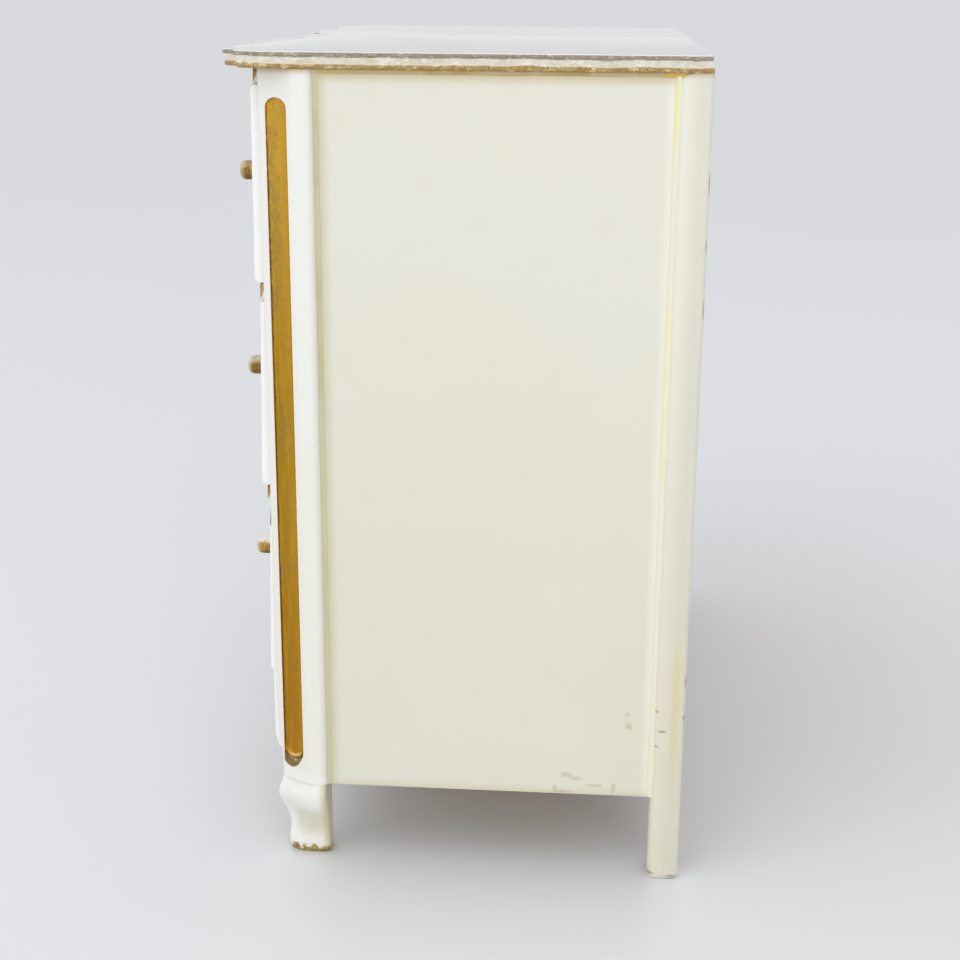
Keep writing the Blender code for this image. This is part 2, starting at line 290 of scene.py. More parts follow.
def white_paint(
    name, light=PAINT_LIGHT, dark=PAINT_DARK, stains=(), chips=(), strokes=(), painted_shade_y=None, foot_top=None
):
    """Thick glossy off-white paint on moulded plastic, a little uneven, yellowed and chipped.

    A painted shade darkens it from the first to the second Y of painted_shade_y, and it whitens down to
    the height of foot_top.
    """
    f = Finish(name)
    broad = f.noise(0.09, (1, 1, 0.5), 3)
    cloud = f.noise(0.55, (1, 1, 0.4), 4, shift=7)
    brush = f.noise(2.2, (1, 1, 0.09), 3, shift=3)
    grain = f.noise(5.5, detail=4, roughness=0.7, shift=11)
    f.paint = f.mix(f.ramp(f.z, 85.0, 12.0), light, dark)
    f.coat(dark, f.ramp(broad, 0.4, 0.7), 0.35)
    f.coat((236, 230, 204), f.ramp(cloud, 0.52, 0.8), 0.16)
    # Painted shade just under the top, tinted warm like the glue there.
    f.coat((206, 186, 140), f.ramp(f.z, 89.5, 90.2, 0, 0.7))
    fleck = f.noise(1.7, detail=5, roughness=0.75, shift=23)
    f.coat((176, 172, 134), f.ramp(fleck, 0.735, 0.775), 0.5)
    if foot_top:
        f.coat(FOOT_LIGHT, f.ramp(f.z, foot_top + 2.2, foot_top, 0, 0.8))
    if painted_shade_y:
        # Painted shade over the rear edge, between the two Y given.
        f.coat((206, 203, 184), f.ramp(f.y, *painted_shade_y, 0, 0.5))
    if stains:
        f.coat((222, 208, 152), specks(f, grain, side_marks(47.4, stains), 1.0), 0.6)
    if chips:
        f.coat((128, 120, 82), specks(f, grain, side_marks(47.4, chips), 2.4), 0.6)
    for start, end, width in strokes:
        f.coat((104, 98, 52), f.stroke(start, end, width), 0.85)
    f.rough(f.ramp(cloud, 0.2, 0.8, 0.2, 0.34))
    f.let_light_in()
    height = f.add(f.times(brush, 0.5), f.times(broad, 2.0), f.times(grain, 0.1))
    f.bump(height, 0.18, 0.05)
    return f.finished()


def ivory_panel(name, seams, side):
    """The side panels: greenish ivory, yellowed along both seams, with painted shade in the front groove
    and under the top, and grubby near the lower rear.
    """
    f = Finish(name)
    front_y, rear_y = seams
    broad = f.noise(0.035, detail=2)
    cloud = f.noise(0.3, detail=4, shift=5)
    grain = f.noise(4.0, detail=4, roughness=0.7, shift=9)
    fine = f.noise(9.0, detail=2, shift=2)
    f.paint = f.mix(f.ramp(f.z, 92.0, 8.0), (228, 225, 211), (223, 218, 198))
    f.coat((225, 224, 212), f.ramp(broad, 0.35, 0.65), 0.5)
    f.coat((216, 213, 192), f.ramp(cloud, 0.55, 0.8), 0.2)
    wander = f.sway(cloud, 0.5)
    from_front = f.add(f.math("SUBTRACT", f.y, front_y), wander)
    from_rear = f.add(f.math("SUBTRACT", rear_y, f.y), wander)
    # Painted shade in the groove at the front seam, tinted yellow like the glue in it.
    f.coat((200, 194, 156), f.ramp(from_front, 1.5, 0.0, 0, 0.7))
    f.coat((184, 176, 134), f.ramp(from_front, 0.35, 0.0, 0, 0.4))
    f.coat((238, 238, 226), f.ramp(from_rear, 1.3, 0.1, 0, 0.7))
    f.coat((240, 236, 204), f.ramp(from_rear, 0.4, 0.1, 0, 0.6))
    # Painted shade under the top, tinted yellow like the glue there.
    f.coat((206, 190, 142), f.ramp(f.z, 88.6, 90.0, 0, 0.75))
    f.coat((186, 160, 104), f.ramp(f.z, 89.6, 90.2, 0, 0.7))
    f.coat((196, 186, 140), f.ramp(f.z, 11.4, 10.2, 0, 0.4))
    fleck = f.noise(1.1, detail=5, roughness=0.8, shift=31)
    f.coat((190, 188, 156), f.ramp(fleck, 0.745, 0.79), 0.5)
    if side > 0:
        dirt = specks(f, grain, side_marks(47.1, PANEL_DIRT), 3.4)
        dirt = f.times(dirt, f.ramp(fine, 0.3, 0.6, 0.4, 1.0))
        f.coat((164, 152, 112), dirt, 0.45)
    f.rough(f.ramp(cloud, 0.2, 0.8, 0.3, 0.42))
    f.bump(f.add(f.times(broad, 3.0), f.times(fine, 0.1), f.times(cloud, 0.5)), 0.25, 0.06)
    return f.finished()


def side_marks(x, rows):
    """(centre, reach) of each mark on a side, from its y and z and its reach along both."""
    return [((x, y, z), (EVERYWHERE, reach_y, reach_z)) for y, z, reach_y, reach_z in rows]


# Marks on the right-hand panel and post, as rows of y, z and reach along both.
PANEL_DIRT = (
    (13.1, 12.6, 0.8, 0.35),
    (14.2, 12.2, 0.9, 0.3),
    (11.8, 10.9, 0.3, 0.7),
    (12.6, 10.5, 1.4, 0.25),
    (16.3, 11.4, 1.0, 0.25),
    (18.4, 11.2, 0.3, 0.8),
    (20.0, 18.9, 0.5, 0.5),
    (19.7, 20.4, 0.3, 0.3),
)

POST_CHIPS = (
    (22.9, 21.0, 0.28, 0.22),
    (23.6, 18.6, 0.55, 0.22),
    (23.1, 16.7, 0.3, 0.16),
    (22.8, 0.7, 0.7, 0.3),
    (25.4, 0.4, 0.8, 0.25),
    (26.1, 24.6, 0.25, 0.9),
    (26.1, 20.3, 0.25, 0.6),
    (26.1, 79.5, 0.2, 1.6),
    (26.1, 73.0, 0.2, 1.1),
    (26.1, 66.5, 0.2, 1.5),
)
POST_STAINS = ((25.0, 21.0, 0.55, 11.0),)


# Dark lines on the right-hand end of the lowest drawer's front: start and end as (y, z), and width.
# They fade in between the two X of STROKE_FADE.
STROKE_FADE = (41.8, 42.4)
DRAWER_STROKES = (
    ((-21.15, 43.0), (-20.95, 39.8), 0.12),
    ((-20.80, 42.9), (-20.90, 40.0), 0.08),
)


def gilt_base(name):
    """Bronze-gold paint and the noises that its wear is drawn with."""
    f = Finish(name, metallic=GILT_METALLIC)
    f.shader.inputs["Specular IOR Level"].default_value = 0.25
    cloud = f.noise(0.45, (1, 1, 0.5), 5, 0.65)
    grain = f.noise(3.0, (1, 1, 0.6), 5, 0.75, shift=6)
    streak = f.noise(1.4, (1, 1, 0.08), 4, shift=13)
    f.rough(f.ramp(grain, 0.3, 0.7, 0.36, 0.56))
    f.bump(f.add(f.times(cloud, 0.9), f.times(grain, 0.5), f.times(streak, 0.4)), 0.7, 0.12)
    return f, cloud, grain, streak


def strip_gilt(name, middle):
    """The sunk strips: brighter at the top, olive and scratched on the upper part's front half, with
    painted shade along the front edge and a painted highlight along the toe's ridge.
    """
    f, cloud, grain, streak = gilt_base(name)
    toward_rear = Vector((CANT_WIDTH, CANT_DEPTH)).normalized()
    along_x = f.times(f.math("ABSOLUTE", f.x), toward_rear.x)
    across = f.math("SUBTRACT", f.add(along_x, f.times(f.y, toward_rear.y)), middle)
    f.paint = f.mix(f.ramp(f.z, 88.0, 52.0), (214, 168, 58), (178, 136, 28))
    f.coat((176, 124, 16), f.ramp(f.z, 52.0, 16.0))
    f.coat((204, 148, 22), f.ramp(across, 0.0, 1.3), 0.5)
    f.coat((212, 158, 44), f.ramp(streak, 0.5, 0.66), 0.45)
    upper = f.times(f.ramp(f.z, 61.0, 68.0), f.ramp(f.z, 87.5, 83.0))
    patch = f.add(cloud, f.times(upper, f.ramp(across, 0.5, -0.2), 0.24))
    f.coat((156, 132, 76), f.ramp(patch, 0.54, 0.7), f.ramp(grain, 0.36, 0.6), 0.6)
    f.coat((112, 82, 30), f.ramp(grain, 0.61, 0.68), 0.6)
    half = INLAY_WIDTH / 2
    # Painted shade along the strip's front edge, where the slot's wall shades it.
    rim = f.times(f.ramp(across, 0.22 - half, 0.06 - half), f.ramp(grain, 0.4, 0.56))
    f.coat((104, 76, 28), rim, 0.4)
    toe = f.math("SUBTRACT", f.z, f.add(f.times(across, across, TOE_BOW), f.times(across, TOE_SLANT)))
    # A painted highlight along the ridge above the toe.
    ridge_highlight = f.ramp(f.math("ABSOLUTE", f.math("SUBTRACT", toe, TOE_HEIGHT + 0.45)), 0.3, 0.1)
    f.coat((255, 222, 140), ridge_highlight, f.ramp(f.math("ABSOLUTE", across), 1.2, 0.5), 0.7)
    f.coat((178, 164, 126), f.ramp(toe, TOE_HEIGHT, TOE_HEIGHT - 0.15, 0, 0.9))
    chip = f.mark((45.9, -18.4, 12.2), (1.0, 0.35, 0.3), 1.0, grain)
    f.coat((240, 238, 228), chip, 0.9)
    return f.finished()


def worn_gilt(name, wear, rail=None, knob=None):
    """Gilt rubbed thin over white.

    On a rail it covers the face and white paint the two ends. A knob has a painted highlight at its tip
    and is dark below.
    """
    f, cloud, grain, streak = gilt_base(name)
    bare = f.noise(0.75, detail=4, roughness=0.65, shift=19)
    f.paint = f.mix(f.ramp(cloud, 0.4, 0.6), (196, 158, 84), (156, 120, 58))
    f.coat((112, 84, 42), f.ramp(grain, 0.46, 0.6), 0.85)
    f.coat((236, 212, 140), f.ramp(streak, 0.52, 0.68), 0.4)
    white = f.ramp(bare, 1.0 - wear, 1.06 - wear)
    if knob:
        low, high = knob
        middle = (low.z + high.z) / 2
        f.coat((104, 80, 38), f.ramp(f.z, middle - 0.2, low.z + 0.2, 0, 0.75))
        # A painted highlight on the knob's tip.
        f.coat((236, 222, 176), f.ramp(f.y, low.y + 0.7, low.y + 0.2, 0, 0.7))
        white = f.times(f.ramp(f.add(f.z, f.times(bare, 1.6)), middle + 1.0, middle + 1.6), wear)
    if rail:
        low, high = rail
        back = f.math("SUBTRACT", f.y, low.y + BLOCK_SWELL)
        slope = f.times(f.math("SUBTRACT", f.z, low.z), 0.62 / (high.z - low.z))
        past_wedge = f.ramp(f.math("SUBTRACT", back, slope), -0.05, 0.05)
        at_end = f.ramp(f.math("ABSOLUTE", f.x), high.x - 0.5, high.x - 0.35)
        white = f.most(white, f.times(at_end, past_wedge))
    f.coat((232, 230, 216), white)
    metal = f.math("SUBTRACT", GILT_METALLIC, f.times(white, GILT_METALLIC))
    f.join(metal, f.shader.inputs["Metallic"])
    return f.finished()


def lacquer_top(name):
    """The top's glossy clear-coated face, with fine scratches and a few worn spots at the front."""
    f = Finish(name)
    broad = f.noise(0.03, detail=2)
    cloud = f.noise(0.4, detail=4, shift=4)
    scratch = f.noise(1.6, (0.12, 1, 1), 3, shift=17)
    grain = f.noise(4.0, detail=4, roughness=0.7, shift=9)
    f.paint = f.mix(broad, (197, 201, 201), (191, 195, 196))
    f.coat((192, 193, 190), f.ramp(cloud, 0.55, 0.8), 0.3)
    spots = [((x, y, 92.0), (reach_x, reach_y, EVERYWHERE)) for x, y, reach_x, reach_y in TOP_WEAR]
    worn = specks(f, grain, spots, 1.8)
    f.coat((112, 106, 84), worn, 0.8)
    scratched = f.times(f.ramp(scratch, 0.66, 0.72), 0.12)
    f.rough(f.add(f.ramp(cloud, 0.3, 0.8, 0.07, 0.15), scratched, f.times(worn, 0.3)))
    f.shader.inputs["Coat Weight"].default_value = 0.35
    f.shader.inputs["Coat Roughness"].default_value = 0.06
    f.bump(f.add(f.times(broad, 3.5), f.times(cloud, 0.25), f.times(scratch, 0.05)), 0.3, 0.08)
    return f.finished()


# Worn spots on the top, as rows of x, y and reach along both.
TOP_WEAR = (
    (43.2, -23.2, 1.3, 0.5),
    (41.0, -24.1, 1.3, 0.3),
    (28.0, -24.4, 1.3, 0.22),
    (21.0, -23.8, 0.8, 0.2),
    (10.5, -21.9, 2.6, 0.35),
    (-30.0, -24.0, 2.6, 0.3),
    (-44.0, 10.0, 0.4, 2.4),
)


def board_edge(name, underside):
    """The top's worn edge: a taupe lip, the cream core of the board and a golden-brown lower lip."""
    f = Finish(name)
    along = f.noise(0.35, (1, 1, 0.6), 4, shift=3)
    grain = f.noise(3.4, (1, 1, 1.4), 5, 0.7, shift=8)
    fibre = f.noise(1.6, (0.7, 0.7, 1.8), 5, 0.75, shift=21)
    height = f.math("SUBTRACT", f.z, underside)
    uneven = f.add(height, f.sway(along, 0.45), f.sway(grain, 0.16))
    lip = f.mix(f.ramp(grain, 0.4, 0.6), (168, 156, 138), (136, 124, 106))
    lip = f.mix(f.times(f.ramp(fibre, 0.53, 0.64), 0.7), lip, (216, 210, 200))
    core = f.mix(f.ramp(along, 0.35, 0.65), (224, 219, 202), (212, 204, 180))
    core = f.mix(f.times(f.ramp(fibre, 0.5, 0.62), 0.7), core, (246, 243, 234))
    core = f.mix(f.times(f.ramp(grain, 0.62, 0.68), 0.9), core, (255, 254, 250))
    core = f.mix(f.times(f.ramp(fibre, 0.42, 0.34), 0.5), core, (200, 184, 150))
    worn = f.mix(f.ramp(grain, 0.4, 0.6), (180, 148, 92), (146, 114, 60))
    worn = f.mix(f.times(f.ramp(fibre, 0.53, 0.62), 0.8), worn, (238, 218, 158))
    worn = f.mix(f.times(f.ramp(grain, 0.64, 0.7), 0.8), worn, (246, 236, 206))
    f.paint = f.mix(f.ramp(uneven, 0.46, 0.58), worn, core)
    f.coat(lip, f.ramp(uneven, 1.16, 1.26))
    # A whitish line along the very top: lacquer run over the edge, with a painted highlight on it.
    f.coat((240, 234, 230), f.ramp(height, 1.66, 1.72))
    f.rough(f.ramp(grain, 0.3, 0.7, 0.4, 0.65))
    f.bump(f.add(f.times(grain, 0.8), f.times(fibre, 0.7)), 0.28, 0.08)
    return f.finished()


def bare_wood(name, light, dark, grain_axis):
    """Unpainted softwood board: long grain lines, pores and a few darker growth bands."""
    f = Finish(name)
    stretch = {"x": (0.06, 1, 1), "y": (1, 0.06, 1)}[grain_axis]
    warp = f.noise(0.25, stretch, 3, shift=2)
    band = f.noise(1.3, stretch, 4, 0.6, distortion=0.4)
    pore = f.noise(7.0, stretch, 3, 0.7, shift=14)
    f.paint = f.mix(f.ramp(band, 0.35, 0.68), light, dark)
    f.coat(dark, f.ramp(warp, 0.4, 0.7), 0.4)
    f.coat((120, 88, 54), f.ramp(pore, 0.6, 0.72), 0.45)
    f.rough(f.ramp(band, 0.3, 0.7, 0.55, 0.72))
    f.bump(f.add(f.times(band, 0.5), f.times(pore, 0.5)), 0.5, 0.08)
    return f.finished()


def glue(name, pale, yellow, rich=()):
    """Old clear glue gone yellow in places, squeezed out of a seam; rich lists its deepest patches. For
    a bead in a shaded gap, its pale and yellow tones also carry painted shade.
    """
    f = Finish(name, roughness=0.22)
    cloud = f.noise(0.16, (1, 1, 0.5), 4, shift=4)
    grain = f.noise(3.0, detail=4, shift=9)
    f.paint = f.mix(f.ramp(cloud, 0.48, 0.62), pale, yellow)
    f.coat((206, 192, 140), f.ramp(grain, 0.6, 0.75), 0.3)
    for colour, centre, reach in rich:
        f.coat(colour, f.mark(centre, reach, 1.0, grain), 0.8)
    f.bump(grain, 0.4, 0.08)
    return f.finished()


# Deep yellow patches of the glue: colour, centre and reach.
REAR_SEAM_YELLOW = (
    ((246, 230, 150), (47.0, 22.5, 86.0), (EVERYWHERE, 0.2, 5.5)),
    ((244, 233, 172), (47.0, 22.5, 56.0), (EVERYWHERE, 0.17, 13.0)),
)
SLAB_YELLOW = (((222, 178, 64), (47.0, 22.6, 90.1), (EVERYWHERE, 1.8, EVERYWHERE)),)


# --- Mesh helpers ---


def solid(name, points, faces):
    """A bare mesh object from points in millimetres, its faces turned outward."""
    mesh = bpy.data.meshes.new(name)
    mesh.from_pydata([tuple(c * MM for c in point) for point in points], [], faces)
    mesh.validate()
    outward_faces(mesh)
    obj = bpy.data.objects.new(name, mesh)
    bpy.context.scene.collection.objects.link(obj)
    return obj


def piece(name, points, faces, material, body, replaces=(), sharp=40.0):
    """A finished piece from points in millimetres: closed, smooth-shaded and riding on its body."""
    obj = solid(name, points, faces)
    mesh = obj.data
    for entry in material if isinstance(material, tuple) else (material,):
        mesh.materials.append(entry)
    mesh.shade_smooth()
    mesh.set_sharp_from_angle(angle=math.radians(sharp))
    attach(obj, body)
    if replaces:
        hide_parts(*replaces)
    return obj


def outward_faces(mesh):
    builder = bmesh.new()
    builder.from_mesh(mesh)
    bmesh.ops.recalc_face_normals(builder, faces=builder.faces)
    builder.to_mesh(mesh)
    builder.free()


def loft(rings):
    """Points and faces of a skin through closed rings of equal length, capped at both ends."""
    count = len(rings[0])
    points = [point for ring in rings for point in ring]
    faces = []
    for level in range(len(rings) - 1):
        start, above = level * count, (level + 1) * count
        for i in range(count):
            j = (i + 1) % count
            faces.append((start + i, start + j, above + j, above + i))
    faces.append(tuple(range(count)))
    faces.append(tuple(range(len(points) - count, len(points))))
    return points, faces


def spread(start, end, step):
    """Evenly spaced values from start to end, without the end."""
    count = max(1, round(abs(end - start) / step))
    return [start + (end - start) * i / count for i in range(count)]


def rounded(corners, radii, steps=8):
    """A polygon with an arc at each corner."""
    outline = []
    for i, corner in enumerate(corners):
        corner = Vector(corner)
        before = (Vector(corners[i - 1]) - corner).normalized()
        after = (Vector(corners[(i + 1) % len(corners)]) - corner).normalized()
        half = before.angle(after) / 2
        radius = radii[i]
        centre = corner + (before + after).normalized() * (radius / math.sin(half))
        start = corner + before * (radius / math.tan(half)) - centre
        end = corner + after * (radius / math.tan(half)) - centre
        sweep = start.angle_signed(end)
        for k in range(steps + 1):
            outline.append(tuple(centre + Matrix.Rotation(-sweep * k / steps, 2) @ start))
    return outline


def block_relief(x):
    """How far the front stands forward of its own ends at this X; negative in the hollow."""
    from_centre = abs(x)
    inner_edge = BLOCK_CENTRE_X - BLOCK_HALF_WIDTH
    if from_centre > inner_edge:
        offset = (from_centre - BLOCK_CENTRE_X) / BLOCK_HALF_WIDTH
        return BLOCK_SWELL * (1 - offset * offset)
    side = smooth((from_centre - HOLLOW_HALF_WIDTH) / (inner_edge - HOLLOW_HALF_WIDTH))
    return -HOLLOW_DEPTH * (1 - side)


# --- The top ---


def top_front_y(x, edge_y):
    relief = block_relief(x)
    return edge_y - relief * (TOP_FOLLOWS_BLOCKS if relief > 0 else TOP_FOLLOWS_HOLLOW)


def top_corners(low, high, setback):
    """The ear's corners from the side forward to the block front, all drawn in by the setback."""
    edge_y = low.y + BLOCK_SWELL * TOP_FOLLOWS_BLOCKS
    front_y = top_front_y(TOP_FRONT_HALF_WIDTH, edge_y)
    path = [Vector((high.x, high.y))]
    path += [Vector((high.x - inset, edge_y + back)) for inset, back in TOP_CORNER]
    path += [Vector((TOP_FRONT_HALF_WIDTH, front_y)), Vector((0.0, front_y))]
    drawn = []
    for before, here, after in zip(path, path[1:], path[2:]):
        arriving, leaving = (here - before).normalized(), (after - here).normalized()
        inward = Vector((arriving.y + leaving.y, -arriving.x - leaving.x))
        drawn.append(tuple(here + inward * setback / (1 + arriving.dot(leaving))))
    return drawn


def open_run(corners, plain):
    """Points along an open path without its last point, as many as its undrawn form needs."""
    run = []
    for (x0, y0), (x1, y1), start, end in zip(corners, corners[1:], plain, plain[1:]):
        count = max(1, round(math.dist(start, end) / TOP_POINT_SPACING))
        run += [(x0 + (x1 - x0) * k / count, y0 + (y1 - y0) * k / count) for k in range(count)]
    return run


def rear_and_left(corners, rear_y):
    """From the right-hand ear round the rear to the left-hand end of the block front."""
    side_x = corners[0][0]
    return [corners[0], (side_x, rear_y), (-side_x, rear_y)] + [(-x, y) for x, y in corners]


def top_outline(low, high, setback, rear_lean):
    """Plan of the top, drawn in by the setback; front corners canted and stepped."""
    edge_y = low.y + BLOCK_SWELL * TOP_FOLLOWS_BLOCKS
    plain, drawn = top_corners(low, high, 0.0), top_corners(low, high, setback)
    rear = rear_and_left(drawn, high.y - setback * 0.3 - rear_lean)
    outline = open_run(rear, rear_and_left(plain, high.y))
    half = drawn[-1][0]
    count = round(2 * TOP_FRONT_HALF_WIDTH / TOP_POINT_SPACING)
    for k in range(count):
        x = half * (2 * k / count - 1)
        outline.append((x, top_front_y(x, edge_y) + setback))
    return outline + open_run(drawn[::-1], plain[::-1])


# The top's edge from the underside up: height, setback and how ragged it is.
EDGE_PROFILE = (
    (0.00, 1.10, 0.00),
    (0.02, 0.60, 0.04),
    (0.10, 0.34, 0.08),
    (0.22, 0.24, 0.10),
    (0.36, 0.22, 0.10),
    (0.48, 0.24, 0.10),
    (0.56, 0.30, 0.08),
    (0.66, 0.30, 0.10),
    (0.80, 0.26, 0.12),
    (0.95, 0.24, 0.12),
    (1.10, 0.22, 0.10),
    (1.24, 0.20, 0.08),
    (1.34, 0.12, 0.06),
    (1.44, 0.05, 0.05),
    (1.58, 0.04, 0.04),
    (1.70, 0.06, 0.03),
    (1.77, 0.12, 0.02),
    (1.80, 0.24, 0.00),
)


def make_top():
    low, high = box_mm("top_slab")
    rings = []
    for height, setback, ragged in EDGE_PROFILE:
        ring = []
        rear_lean = TOP_REAR_LEAN * smooth((height - 0.5) / 0.3)
        for x, y in top_outline(low, high, setback, rear_lean):
            rough = wobble((x, y, height * 1.5), 0.5, 3) * 0.6
            rough += wobble((x, y, height * 2), 1.4, 9) * 0.4
            pull = ragged * min(0.0, rough - 0.1) * 1.4
            centre = Vector((x * 0.02, (y - 1.0) * 0.02))
            outward = Vector((x, y)) - centre
            outward.normalize()
            ring.append((x + outward.x * pull, y + outward.y * pull, low.z + height))
        rings.append(ring)
    points, faces = loft(rings)
    edge = board_edge("board_edge", low.z)
    materials = (edge, lacquer_top("top_lacquer"))
    obj = piece("lacquered_top", points, faces, materials, "case", ["top_slab"])
    for polygon in obj.data.polygons:
        level_face = polygon.normal.z > 0.8 and polygon.center.z > (high.z - 0.3) * MM
        polygon.material_index = 1 if level_face else 0


# --- Pilasters and their gilt strips ---


def canted_frame(side, word):
    """Origin on a pilaster's canted face at floor level, the way rearwards along it and the way out."""
    low, high = box_mm(f"front_pilaster_{word}")
    outward = Vector((side * CANT_DEPTH, -CANT_WIDTH, 0.0)).normalized()
    rearward = Vector((side * CANT_WIDTH, CANT_DEPTH, 0.0)).normalized()
    outer = near_and_far(low, high)[1]
    origin = Vector((side * (outer - CANT_WIDTH / 2), low.y + CANT_DEPTH / 2, 0.0))
    return origin, rearward, outward


def slot_ends(across, low, high):
    """Lower and upper end of the gilt slot at a distance rearwards of its middle line."""
    share = min(abs(across) / (INLAY_WIDTH / 2), 1.0)
    bow = 1 - math.sqrt(1 - share * share)
    bottom = low.z - 0.2 + 0.7 * bow + 1.5 * (max(across + 0.6, 0.0) / 2.05) ** 2
    return bottom, high.z + 0.2 - 1.0 * bow


def slot_outline(low, high):
    """The slot's closed outline as (distance across, height): a low arch above, a skewed toe below."""
    half = INLAY_WIDTH / 2
    places = [half * math.sin(math.pi * (k / SLOT_STEPS - 0.5)) for k in range(SLOT_STEPS + 1)]
    upper = [(across, slot_ends(across, low, high)[1]) for across in reversed(places)]
    lower = [(across, slot_ends(across, low, high)[0]) for across in places]
    return upper + lower


def applied(obj):
    """Bakes the modifiers into the mesh."""
    graph = bpy.context.evaluated_depsgraph_get()
    mesh = bpy.data.meshes.new_from_object(obj.evaluated_get(graph))
    obj.modifiers.clear()
    obj.data = mesh
    return obj


# Where the pilaster's front edge draws back near the foot: height and distance.
PILASTER_TAPER = ((10.0, 0.65), (10.8, 0.62), (13.3, 0.46), (16.0, 0.2), (20.0, 0.0), (90.0, 0.0))


def pilaster_ring(z, side, low, high, inset):
    inner, outer = near_and_far(low, high)
    (drawn_back,) = curve_through(PILASTER_TAPER, z)
    front = low.y + drawn_back
    corners = [
        (inner, high.y),
        (inner, front),
        (outer - CANT_WIDTH + drawn_back * CANT_WIDTH / CANT_DEPTH, front),
        (outer, low.y + CANT_DEPTH),
        (outer, high.y),
    ]
    middle = Vector(((inner + outer) / 2, (low.y + high.y) / 2))
    ring = []
    for x, y in rounded(corners, (0.2, 0.35, 0.5, 1.5, 1.0)):
        towards = (middle - Vector((x, y))).normalized() * inset
        ring.append((side * (x + towards.x), y + towards.y, z))
    return ring


def make_pilaster(side, word, material, gilt):
    low, high = box_mm(f"front_pilaster_{word}")
    bottom = low.z - 0.1
    levels = [(bottom, 0.08), (bottom + 0.08, 0.03), (bottom + 0.25, 0.0)]
    levels += [(z, 0.0) for z in (12.0, 13.3, 14.6, 16.0, 18.0, 20.0, 24.0, high.z + UNDER_TOP)]
    rings = [pilaster_ring(z, side, low, high, inset) for z, inset in levels]
    post = solid(f"painted_pilaster_{word}", *loft(rings))
    origin, rearward, outward = canted_frame(side, word)
    slot_low, slot_high = box_mm(f"pilaster_inlay_{word}")
    shape = slot_outline(slot_low, slot_high)
    slot_rings = []
    for depth in (-RECESS_DEPTH, 2.0):
        start = origin + outward * depth
        slot_rings.append([tuple(start + rearward * u + Vector((0, 0, v))) for u, v in shape])
    cutter = solid("slot_cutter", *loft(slot_rings))
    cut = post.modifiers.new("Recess", "BOOLEAN")
    cut.operation = "DIFFERENCE"
    cut.object = cutter
    soften = post.modifiers.new("Soft lip", "BEVEL")
    soften.width = 0.1 * MM
    soften.segments = 3
    soften.limit_method = "ANGLE"
    soften.angle_limit = math.radians(50)
    applied(post)
    bpy.data.objects.remove(cutter)
    post.data.materials.clear()
    post.data.materials.append(material)
    post.data.materials.append(gilt)
    for polygon in post.data.polygons:
        offset = Vector(polygon.center) / MM - origin
        inside = abs(offset.dot(rearward)) < INLAY_WIDTH / 2 + 0.05
        if inside and offset.dot(outward) < -0.06 and slot_low.z - 1 < offset.z < slot_high.z + 1:
            polygon.material_index = 1
    post.data.shade_smooth()
    post.data.set_sharp_from_angle(angle=math.radians(38))
    weighted = post.modifiers.new("Even shading", "WEIGHTED_NORMAL")
    weighted.keep_sharp = True
    applied(post)
    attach(post, "case")
    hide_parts(f"front_pilaster_{word}")


def strip_depth(across, z, side):
    """Height of the strip's face, below the canted one: level, with a ridge near its toe and a drop."""
    dent = wobble((across, side * 3.0, z), 0.45, 5) * 0.05
    dent += wobble((across, side * 2.0, z), 1.6, 2) * 0.035
    lift = 0.10 * smooth((abs(across) / (INLAY_WIDTH / 2) - 0.7) / 0.3)
    above_toe = z - (TOE_HEIGHT + TOE_BOW * across * across + TOE_SLANT * across)
    ridge = 0.16 * math.exp(-(((above_toe - 0.5) / 0.3) ** 2))
    drop = 0.42 * smooth(0.5 - above_toe / 0.6)
    return -STRIP_DEPTH + dent + lift + ridge - drop


def make_inlay(side, word, material):
    """The sunk gilt strip: dented, with a ridge and a scoop at its lower end."""
    origin, rearward, outward = canted_frame(side, word)
    slot_low, slot_high = box_mm(f"pilaster_inlay_{word}")
    half = INLAY_WIDTH / 2 - 0.02
    columns = 24
    length = slot_high.z - slot_low.z
    shares = [d / length for d in spread(0.0, 4.0, 0.1) + spread(4.0, length, 0.3) + [length]]
    front, back = [], []
    for share in shares:
        front_row, back_row = [], []
        for k in range(columns + 1):
            u = half * math.sin(math.pi * (k / columns - 0.5))
            bottom, top = slot_ends(u, slot_low, slot_high)
            z = bottom + 0.03 + (top - bottom - 0.06) * share
            base = origin + rearward * u + Vector((0, 0, z))
            front_row.append(tuple(base + outward * strip_depth(u, z, side)))
            back_row.append(tuple(base - outward * (RECESS_DEPTH + 0.02)))
        front.append(front_row)
        back.append(back_row)
    points, faces = slab_grid(front, back)
    replaced = [f"pilaster_inlay_{word}"]
    piece(f"gilt_strip_{word}", points, faces, material, "case", replaced, 60)


def slab_grid(front, back):
    """Closed skin between two grids of points with the same rows and columns."""
    rows, columns = len(front), len(front[0])
    points = [p for row in front for p in row] + [p for row in back for p in row]
    offset = rows * columns
    faces = []
    for r in range(rows - 1):
        for c in range(columns - 1):
            a, b = r * columns + c, r * columns + c + 1
            d, e = a + columns, b + columns
            faces.append((a, b, e, d))
            faces.append((offset + a, offset + d, offset + e, offset + b))
    rim = list(range(columns))
    rim += [r * columns + columns - 1 for r in range(1, rows)]
    rim += [(rows - 1) * columns + c for c in range(columns - 2, -1, -1)]
    rim += [r * columns for r in range(rows - 2, 0, -1)]
    for i, a in enumerate(rim):
        b = rim[(i + 1) % len(rim)]
        faces.append((a, offset + a, offset + b, b))
    return points, faces


# --- Feet ---

